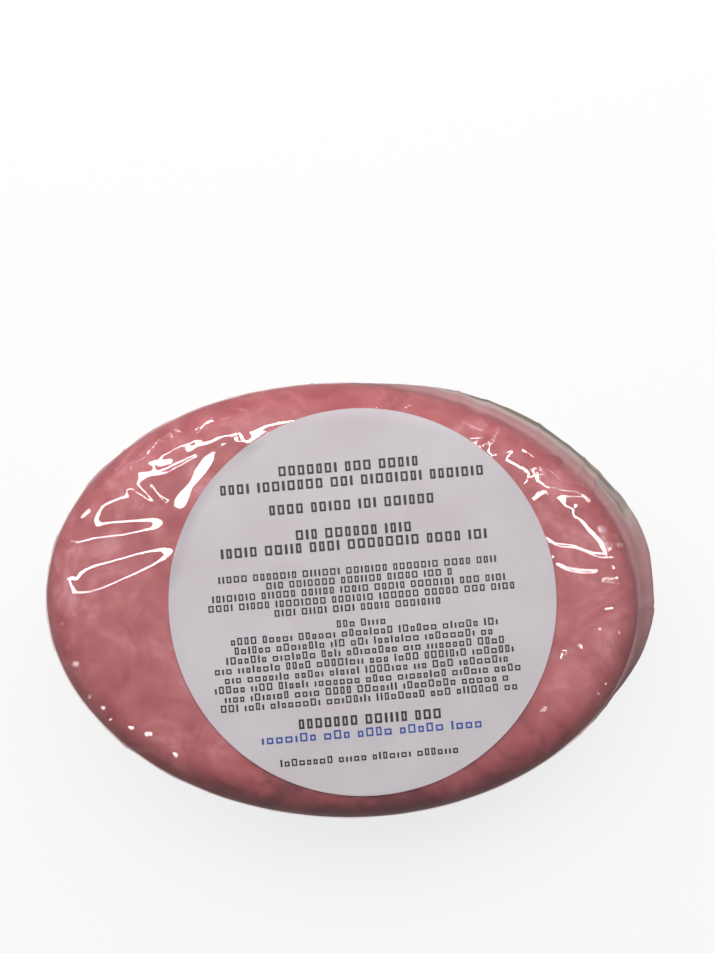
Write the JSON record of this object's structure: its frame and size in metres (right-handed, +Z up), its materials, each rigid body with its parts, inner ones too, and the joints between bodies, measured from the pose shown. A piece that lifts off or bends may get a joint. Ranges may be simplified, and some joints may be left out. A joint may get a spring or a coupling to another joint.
{
  "type": "wrapped bar of soap",
  "caption": "Oval bar of pink soap in clear shrink film with a loose fold at one end, and a round white paper label on its upper face.",
  "frame": {"origin": "middle of the bar's oval outline, on the flat underside of the film, where the pack rests", "axes": "+X along the bar towards the loose fold of film, +Y across the bar towards the top of the label, +Z up out of the labelled face"},
  "size_m": [0.0847, 0.0602, 0.0243],
  "materials": {
    "soap": "waxy satin",
    "film": "clear gloss",
    "label_paper": "matte"
  },
  "bodies": {
    "root": {"soap_bar": "soap", "shrink_wrap": "film", "back_label": "label_paper"}
  },
  "joints": []
}
